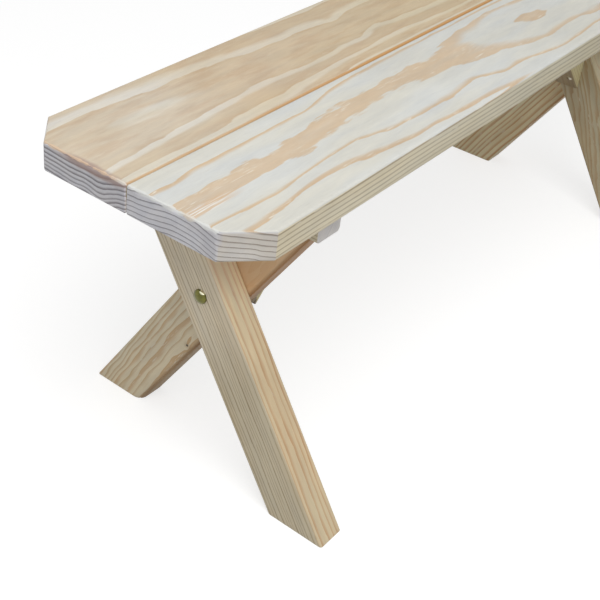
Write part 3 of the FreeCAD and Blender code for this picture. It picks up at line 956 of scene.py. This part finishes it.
# Every screw of the left end: its head's middle, the way that it is driven, its length
def screwPlaces():
    s, j, lengths = screws, joinery, screws["lengths"]
    outer, inner = s["cleatSpots"]
    cleat = [
        ((j["joint"], y, j["housingFloor"]), (0, 0, 1), lengths["cleat"])
        for y in (-outer, -inner, inner, outer)
    ]
    leg = []
    for face, way, middle in ((j["outerFace"], 1, s["legSpot"]), (j["innerFace"], -1, -s["legSpot"])):
        for shift in (-s["legSpread"], s["legSpread"]):
            leg.append(((face, middle + shift, s["legHeight"]), (way, 0, 0), lengths["leg"]))
    brace = []
    for y in (-s["braceSpread"], s["braceSpread"]):
        for key, way in (("braceFoot", (-1, 0, 0)), ("braceHead", (0, 0, 1))):
            brace.append(((s[key][0], y, s[key][1]), way, lengths[key]))
    return {"cleat": cleat, "leg": leg, "brace": brace}


# A countersunk hole, open for the lead in front of it
def screwBore(place, way, lead):
    s = screws
    radius, depth = s["headRadius"] + s["gap"], s["headDepth"] + joinery["screwSet"]
    profile = [
        (radius, -lead), (radius, 0), (s["shankRadius"], depth),
        (s["shankRadius"] * s["boreTaper"], depth + s["boreTail"]),
    ]
    return drum(np.array(place), way, profile, s["boreSides"])


def barCutters(kind):
    j, places = joinery, screwPlaces()
    if kind in ("cleat", "brace"):
        lead = screws["boreLead"] if kind == "cleat" else screws["slantLead"]
        return [screwBore(place, way, lead) for place, way, length in places[kind]]
    side = -1 if kind == "leg_outer" else 1
    wall = j["joint"] + side * (j["cheek"] + j["housingGap"])
    beyond = j["joint"] - side * j["housingReach"]
    low = np.array([min(wall, beyond), -j["housingHalf"], j["housingFloor"]])
    high = np.array([max(wall, beyond), j["housingHalf"], j["underside"] + j["housingRise"]])
    mine = places["leg"][:2] if kind == "leg_outer" else places["leg"][2:]
    cutters = [cutterBox(low, high)]
    cutters += [screwBore(place, way, screws["boreLead"]) for place, way, length in mine]
    if kind == "leg_inner":
        start = np.array([j["innerFace"] - j["recessDepth"], 0, j["crossing"]])
        profile = [(j["recessRadius"], 0), (j["recessRadius"], j["recessReach"])]
        cutters.append(drum(start, (1, 0, 0), profile, j["recessSides"]))
    return cutters


# A sawn bar: a block of cells with rounded long edges, sheared so that each end lies in its
# cutting plane
def sawnBar(kind, end):
    bar, look = bars[kind], bars[kind][end]
    middle, grain, across, deep, lowCut, highCut = barRun(kind)
    width, depth, radius, length = bar["width"], bar["depth"], bar["radius"], bar["gridLength"]
    s = stations(length, barMaking["endEase"], barMaking["step"], edgeCells=2) / length
    a = stations(width, radius, barMaking["acrossStep"], edgeCells=3) - width / 2
    b = stations(depth, radius, barMaking["acrossStep"], edgeCells=3) - depth / 2
    grid, quads = blockGrid((len(s) - 1, len(a) - 1, len(b) - 1))
    t, pa, pb = s[grid[:, 0]], a[grid[:, 1]], b[grid[:, 2]]
    pa, pb = roundSection(pa, pb, width / 2, depth / 2, radius)
    if "wane" in look:
        growth = np.clip(1 - t / look["wane"]["until"], 0, 1)
        wane = radius + (look["wane"]["radius"] - radius) * growth
        pa, pb = waneCorner(pa, pb, width / 2, depth / 2, wane)
    inset = endInset(np.minimum(t, 1 - t) * length, barMaking["endEase"])
    pa, pb = pa * (1 - inset / (width / 2)), pb * (1 - inset / (depth / 2))
    base = middle + pa[:, None] * across + pb[:, None] * deep
    starts = (lowCut[1] - base @ lowCut[0]) / (grain @ lowCut[0])
    stops = (highCut[1] - base @ highCut[0]) / (grain @ highCut[0])
    places = base + (starts + (stops - starts) * t)[:, None] * grain
    if np.dot(grain, np.cross(across, deep)) < 0:
        quads = quads[:, ::-1]
    piece = meshFrom("sawn_" + kind + "_" + end, places, quads)
    cutAway(piece, barCutters(kind))
    smoothBut(piece, woodSharp)
    places = meshPlaces(piece.data)
    off = places - middle
    spot = np.stack([off @ grain, off @ across, off @ deep], -1)
    if end == "right":
        piece.data.vertices.foreach_set("co", (places * halfTurn * mm).ravel())
        piece.data.update()
        grain = grain * halfTurn
    shift = np.array([look["seed"] * barMaking["seedShift"], 0, 0])
    nameGrain(piece, grain, spot + shift, barRings(spot, look))
    piece.data.materials.append(materials[look["material"]])
    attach(piece, "root")
    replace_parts(piece, kind + "_" + end)


# Ring count in a bar: distance from a pith that wanders along it, with years of unlike growth
def barRings(spot, look):
    along, seed = spot[:, 0], look["seed"]
    wanderAcross = drift(along, seed, barMaking["pithAcross"], look["waver"])
    wanderDeep = drift(along, seed + barMaking["pithSeed"], barMaking["pithDeep"], look["waver"])
    pithA = look["pith"][0] + wanderAcross + look.get("slope", 0) * along
    pithB = look["pith"][1] + wanderDeep
    count = (np.hypot(spot[:, 1] - pithA, spot[:, 2] - pithB) / look["scale"]) ** look["power"]
    waves = [
        size * np.sin(rate * count + share * seed) for size, rate, share in barMaking["unlikeYears"]
    ]
    return count + look.get("unlike", 1.0) * sum(waves)


# Zinc plating with a yellow or pale tint: uneven film and fine scuffs, and, where a look gives
# one, a painted highlight: a pale spot fixed on the surface where a highlight shows
def platingMaterial(name, look):
    material, tree, shader = openMaterial(name)
    place = addNode(tree, "ShaderNodeTexCoord").outputs["Object"]
    film, scuff = noise(tree, place, "film"), noise(tree, place, "scuff")
    thick = span(tree, film, *middleNoise)
    colour = blendColour(tree, thick, paint(*look["tint"]), paint(*look["tintDeep"]))
    if "paintedHighlight" in look:
        paintedHighlight = look["paintedHighlight"]
        radius, away = paintedHighlight["radius"] * mm, distanceTo(tree, place, paintedHighlight["place"])
        ragged = calc(tree, "MULTIPLY_ADD", film, paintedHighlight["ragged"] * mm, away)
        inside = span(tree, ragged, radius, radius * paintedHighlight["reach"], 1, 0)
        colour = blendColour(tree, inside, colour, paint(*paintedHighlight["tint"]))
    wire(tree, colour, shader.inputs["Base Color"])
    rough = span(tree, scuff, *wideNoise, look["roughLow"], look["roughHigh"])
    wire(tree, rough, shader.inputs["Roughness"])
    shader.inputs["Metallic"].default_value = 1.0
    shader.inputs["Coat Weight"].default_value = look["coat"]
    shader.inputs["Coat Roughness"].default_value = look["coatRoughness"]
    giveRelief(tree, shader, scuff, look["reliefStrength"], look["reliefDepth"])
    return material


plainPlating = {"coatRoughness": 0.06, "reliefStrength": 0.15, "reliefDepth": 0.1}
platingLooks = {
    "boltPlating": {
        # yellow zinc's own colour, darkened to a deep olive as a painted reflection of dark surroundings
        "tint": (104, 101, 36), "tintDeep": (86, 84, 26),
        "roughLow": 0.08, "roughHigh": 0.16, "coat": 0.6,
        # a painted highlight: a pale spot near the top of the bolt's head
        "paintedHighlight": {
            "place": (-481, -3.2, 252.6), "radius": 2.9, "reach": 1.6, "ragged": 2.0,
            "tint": (240, 236, 206),
        },
    },
    "screwPlating": {
        "tint": (208, 204, 190), "tintDeep": (196, 188, 160),
        "roughLow": 0.22, "roughHigh": 0.4, "coat": 0.0,
    },
}


# Rows of rings joined into a closed surface with one point at each end
def closedRings(rows, startPole, endPole):
    count, sides = rows.shape[:2]
    number, walls = ringWalls(count, sides)
    first, last = count * sides, count * sides + 1
    caps = np.stack([np.full(sides, first), np.roll(number[0], -1), number[0]], -1).tolist()
    caps += np.stack([np.full(sides, last), number[-1], np.roll(number[-1], -1)], -1).tolist()
    places = np.concatenate([rows.reshape(-1, 3), [startPole], [endPole]])
    return places, walls + caps


def finishMetal(name, places, faces, end, material, node):
    if end == "right":
        places = places * halfTurn
    piece = meshFrom(name, places, faces)
    smoothBut(piece, metalSharp)
    piece.data.materials.append(materials[material])
    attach(piece, "root")
    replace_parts(piece, node)


bolt = {
    "headRadius": 8.75, "headHeight": 4.4, "rim": 0.7, "rimEase": 0.15, "crown": 0.06,
    "domePower": 0.96, "domeRings": 18, "neckHalf": 4.0, "neckDepth": 4.6, "neckTaper": 0.8,
    "neckCorner": 1.32, "radius": 3.95, "length": 70.0, "threadPitch": 1.4, "threadDepth": 0.6,
    "threadLength": 24.0, "threadGap": 0.2, "threadRise": 3.0, "ringsToThread": 6,
    "tip": 0.8, "tipEase": 0.9, "sides": 96,
}


# Carriage bolt: a domed head over a short upright rim, a square neck and a threaded shank. The
# radius is a function of the distance from the crown and the angle round the axis.
def carriageBolt(end):
    b = bolt
    turn = anglesRound(b["sides"])
    dome = np.linspace(b["crown"], 1, b["domeRings"])
    height = b["headHeight"] - b["rim"]
    domeRadius = b["headRadius"] * np.sin(dome * math.pi / 2) ** b["domePower"]
    domeDepth = -b["headHeight"] + height * (1 - np.cos(dome * math.pi / 2))
    square = b["neckHalf"] / np.maximum(np.abs(np.cos(turn)), np.abs(np.sin(turn)))
    square = np.minimum(square, b["neckHalf"] * b["neckCorner"])
    smoothStop = b["length"] - b["threadLength"]
    rows = list(zip(domeRadius, domeDepth)) + [
        (b["headRadius"], -b["rimEase"]),
        (b["headRadius"] - b["rimEase"], 0.0),
        (square, 0.0),
        (square, b["neckDepth"] - b["neckTaper"]),
        (b["radius"], b["neckDepth"]),
        (b["radius"], smoothStop),
    ]
    threadStep = b["threadPitch"] / b["ringsToThread"]
    for d in np.arange(smoothStop + b["threadGap"], b["length"] - b["tip"], threadStep):
        cycle = np.abs(((d / b["threadPitch"] - turn / (2 * math.pi)) % 1) * 2 - 1)
        rise = min(1, (d - smoothStop) / b["threadRise"])
        rows.append((b["radius"] - b["threadDepth"] * cycle * rise, d))
    rows.append((b["radius"] - b["tipEase"], b["length"]))
    way = np.array([1.0, 0, 0])
    centre = np.array([joinery["outerFace"], 0, joinery["crossing"]])
    points = ringRows(centre, way, rows, b["sides"])
    places, faces = closedRings(points, centre - b["headHeight"] * way, centre + b["length"] * way)
    finishMetal("turned_carriage_bolt_" + end, places, faces, end, "boltPlating",
                "carriage_bolt_" + end)


# Countersunk wood screws: the head's face is a disc of rings sunk by a cross-shaped recess,
# and the shank carries a coarse thread up to its point
def screwSurface(place, way, length):
    s = screws
    turn = anglesRound(s["sides"])
    way = np.array(way, float)
    centre = np.array(place) + way * joinery["screwSet"]
    reach, half, shank = s["slotReach"], s["slotHalf"], s["shankRadius"]
    rows = []
    for r in np.linspace(s["rim"], s["headRadius"] - s["rim"], s["faceRings"]):
        x, y = np.abs(r * np.cos(turn)), np.abs(r * np.sin(turn))
        outside = np.minimum(np.maximum(x - reach, y - half), np.maximum(y - reach, x - half))
        wall = np.clip(-outside / s["slotWall"], 0, 1)
        rows.append((r, s["slotDepth"] * wall * (1 - r / s["slotFade"])))
    plain = length * s["plainShare"]
    rows += [(s["headRadius"], s["rim"]), (shank, s["headDepth"]), (shank, plain)]
    for d in np.arange(plain + s["threadGap"], length - s["tip"], s["threadStep"]):
        cycle = np.abs(((d / s["threadPitch"] - turn / (2 * math.pi)) % 1) * 2 - 1)
        taper = min(1.0, (length - d) / s["pointLength"])
        thread = shank * s["coreShare"] + shank * s["crestShare"] * (1 - cycle) ** 3
        rows.append((thread * taper + s["tipRadius"], d))
    points = ringRows(centre, way, rows, s["sides"])
    point = centre + way * (length - joinery["screwSet"])
    return closedRings(points, centre + s["slotBottom"] * way, point)


def screwGroup(kind, end):
    allPlaces, allFaces, start = [], [], 0
    for place, way, length in screwPlaces()[kind]:
        places, faces = screwSurface(place, way, length)
        allFaces += [[corner + start for corner in face] for face in faces]
        allPlaces.append(places)
        start += len(places)
    node = kind + "_screws_" + end
    finishMetal("turned_" + node, np.concatenate(allPlaces), allFaces, end, "screwPlating",
                node)


# Floor, light and camera, in metres
stage = {
    "floorSize": 6.0, "floorColour": (184, 184, 184), "floorGlow": 0.66, "skyLight": 0.47,
    "keyPower": 47.0, "keySize": 2.0, "keyPlace": (-1.3, -1.1, 2.5), "keyAim": (0.0, 0.0, 0.3),
}


def rayShows(tree):
    ray = addNode(tree, "ShaderNodeLightPath")
    seen = calc(tree, "MAXIMUM", ray.outputs["Is Camera Ray"], ray.outputs["Is Glossy Ray"])
    return calc(tree, "MAXIMUM", seen, ray.outputs["Is Transmission Ray"])


def buildFloor():
    half = stage["floorSize"] / 2
    corners = np.array([(-half, -half, 0), (half, -half, 0), (half, half, 0), (-half, half, 0)]) / mm
    floor = meshFrom("studioFloor", corners, [(0, 1, 2, 3)])
    material, tree, shader = openMaterial("studioFloorPaint")
    shader.inputs["Base Color"].default_value = paint(*stage["floorColour"])
    shader.inputs["Roughness"].default_value = 1.0
    shader.inputs["Specular IOR Level"].default_value = 0.0
    shader.inputs["Emission Color"].default_value = (1, 1, 1, 1)
    glow = times(tree, rayShows(tree), stage["floorGlow"])
    wire(tree, glow, shader.inputs["Emission Strength"])
    floor.data.materials.append(material)


def buildLight():
    world = bpy.data.worlds.new("studioSky")
    bpy.context.scene.world = world
    world.use_nodes = True
    tree = world.node_tree
    background = tree.nodes["Background"]
    background.inputs["Color"].default_value = (1, 1, 1, 1)
    strength = span(tree, rayShows(tree), 0, 1, stage["skyLight"], 1.0, "LINEAR")
    wire(tree, strength, background.inputs["Strength"])
    lamp = bpy.data.lights.new("studioKey", "AREA")
    lamp.shape = "DISK"
    lamp.size = stage["keySize"]
    lamp.energy = stage["keyPower"]
    key = bpy.data.objects.new("studioKey", lamp)
    bpy.context.scene.collection.objects.link(key)
    key.location = stage["keyPlace"]
    aim = np.array(stage["keyAim"]) - np.array(stage["keyPlace"])
    yaw = math.atan2(aim[1], aim[0]) - math.pi / 2
    pitch = math.atan2(aim[2], math.hypot(aim[0], aim[1])) + math.pi / 2
    key.rotation_euler = (pitch, 0, yaw)


eye = {
    "place": (-1.2452, -0.6248, 0.9699), "azimuth": -52.436, "elevation": 34.794, "roll": 4.526,
    "focalPixels": 1147.16, "centre": (229.77, 268.78), "frame": 600.0, "sensor": 36.0,
    "nearest": 0.05,
}


# The camera looks along its azimuth and elevation, and rolls about that line
def buildCamera():
    camera = bpy.data.cameras.new("photoView")
    camera.sensor_width = eye["sensor"]
    camera.lens = eye["focalPixels"] * eye["sensor"] / eye["frame"]
    camera.shift_x = (eye["frame"] / 2 - eye["centre"][0]) / eye["frame"]
    camera.shift_y = (eye["centre"][1] - eye["frame"] / 2) / eye["frame"]
    camera.clip_start = eye["nearest"]
    holder = bpy.data.objects.new("photoView", camera)
    bpy.context.scene.collection.objects.link(holder)
    holder.location = eye["place"]
    tilt = Euler((math.radians(90 - eye["elevation"]), 0, math.radians(eye["azimuth"]))).to_quaternion()
    holder.rotation_mode = "QUATERNION"
    holder.rotation_quaternion = tilt @ Quaternion((0, 0, 1), math.radians(eye["roll"]))
    bpy.context.scene.camera = holder


materials = {name: pineMaterial(name, {**plainPine, **look}) for name, look in pineLooks.items()}
for name, look in platingLooks.items():
    materials[name] = platingMaterial(name, {**plainPlating, **look})
print("materials made")
for place, board in seatBoards.items():
    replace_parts(seatBoard("planed_seat_board_" + place, board), "seat_board_" + place)
print("seat boards made")
for end in ("left", "right"):
    for kind in bars:
        sawnBar(kind, end)
    carriageBolt(end)
    for kind in ("cleat", "leg", "brace"):
        screwGroup(kind, end)
    for kind in ("washer", "nut"):
        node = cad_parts[kind + "_" + end]
        node.data.materials.clear()
        node.data.materials.append(materials["boltPlating"])
print("bars and fasteners made")
buildFloor()
buildLight()
buildCamera()
